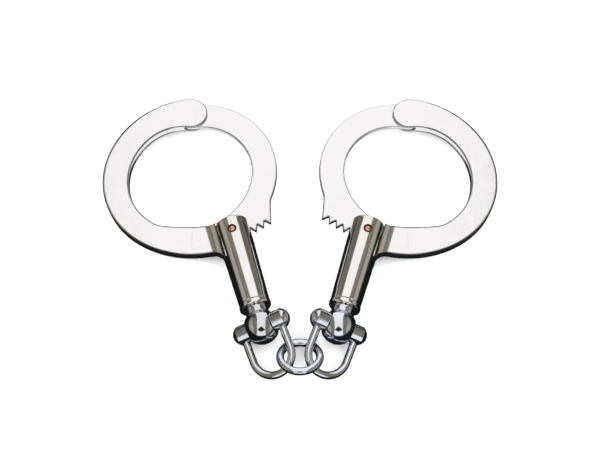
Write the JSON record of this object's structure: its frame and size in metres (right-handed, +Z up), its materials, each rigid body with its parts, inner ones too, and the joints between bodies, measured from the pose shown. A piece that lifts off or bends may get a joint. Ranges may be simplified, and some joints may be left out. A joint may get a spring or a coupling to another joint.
{
  "type": "handcuffs",
  "caption": "Linked pair of barrel-lock handcuffs with toothed swinging jaws, each joined by a swivel and D-shackle to a shared ring.",
  "frame": {"origin": "centre of the footprint on the surface that the cuffs lie on", "axes": "+X from the left cuff to the right cuff, +Y from the ring to the hinges of the cuffs, +Z up from the surface"},
  "size_m": [0.2098, 0.163, 0.0187],
  "materials": {
    "plate": "mirror polish with fine wear",
    "lock": "polished nickel plate, slightly dulled",
    "link": "polished nickel plate, worn",
    "copper": "satin copper rivet",
    "inner": "machined steel"
  },
  "bodies": {
    "ring": {"ring": "link"},
    "left_shackle": {"left_shackle": "link", "left_shackle_pin": "link"},
    "left_swivel": {"left_swivel": "link"},
    "left_cuff": {"left_barrel": "lock", "left_bow": "plate", "left_nose_plug": "lock", "left_front_rivet": "copper", "left_rear_rivet": "copper", "left_hinge_rivet": "plate", "left_spring_seat": "inner", "left_bolt_spring": "inner", "left_swivel_washer": "inner"},
    "left_jaw": {"left_jaw": "plate"},
    "left_bolt": {"left_bolt": "inner"},
    "right_shackle": {"right_shackle": "link", "right_shackle_pin": "link"},
    "right_swivel": {"right_swivel": "link"},
    "right_cuff": {"right_barrel": "lock", "right_bow": "plate", "right_nose_plug": "lock", "right_front_rivet": "copper", "right_rear_rivet": "copper", "right_hinge_rivet": "plate", "right_spring_seat": "inner", "right_bolt_spring": "inner", "right_swivel_washer": "inner"},
    "right_jaw": {"right_jaw": "plate"},
    "right_bolt": {"right_bolt": "inner"}
  },
  "joints": [
    {"name": "left_link", "type": "hinge", "parent": "ring", "child": "left_shackle", "pos_m": [-0.00598, -0.07491, 0.00662], "axis": [0.5703, 0.6976, 0.4336], "range_deg": [-5, 120]},
    {"name": "left_shackle_pin", "type": "hinge", "parent": "left_shackle", "child": "left_swivel", "pos_m": [-0.01899, -0.0549, 0.00975], "axis": [0.8918, 0.2537, 0.3746], "range_deg": [-110, 110]},
    {"name": "left_swivel_turn", "type": "hinge", "parent": "left_swivel", "child": "left_cuff", "pos_m": [-0.02881, -0.02042, 0.00978], "axis": [-0.274, 0.9617, 0.0008], "range_deg": [-150, 150]},
    {"name": "left_jaw_hinge", "type": "hinge", "parent": "left_cuff", "child": "left_jaw", "pos_m": [-0.05831, 0.07151, 0.0095], "axis": [-0.1061, -0.0311, 0.9939], "range_deg": [-9, 90]},
    {"name": "left_bolt_slide", "type": "slide", "parent": "left_cuff", "child": "left_bolt", "axis": [-0.274, 0.9617, 0.0008], "range_m": [0, 0.004], "stiffness_N_per_m": 900, "springref_m": 0.006, "deforming": ["left_bolt_spring"]},
    {"name": "right_link", "type": "hinge", "parent": "ring", "child": "right_shackle", "pos_m": [0.00599, -0.07493, 0.00665], "axis": [-0.5715, 0.6972, 0.4328], "range_deg": [-120, 5]},
    {"name": "right_shackle_pin", "type": "hinge", "parent": "right_shackle", "child": "right_swivel", "pos_m": [0.01899, -0.0549, 0.00975], "axis": [-0.8916, 0.2543, 0.3746], "range_deg": [-110, 110]},
    {"name": "right_swivel_turn", "type": "hinge", "parent": "right_swivel", "child": "right_cuff", "pos_m": [0.02881, -0.02042, 0.00972], "axis": [0.274, 0.9617, -0.0008], "range_deg": [-150, 150]},
    {"name": "right_jaw_hinge", "type": "hinge", "parent": "right_cuff", "child": "right_jaw", "pos_m": [0.05831, 0.07151, 0.00929], "axis": [0.1049, -0.029, 0.9941], "range_deg": [-90, 12]},
    {"name": "right_bolt_slide", "type": "slide", "parent": "right_cuff", "child": "right_bolt", "axis": [0.274, 0.9617, -0.0008], "range_m": [0, 0.004], "stiffness_N_per_m": 900, "springref_m": 0.006, "deforming": ["right_bolt_spring"]}
  ]
}
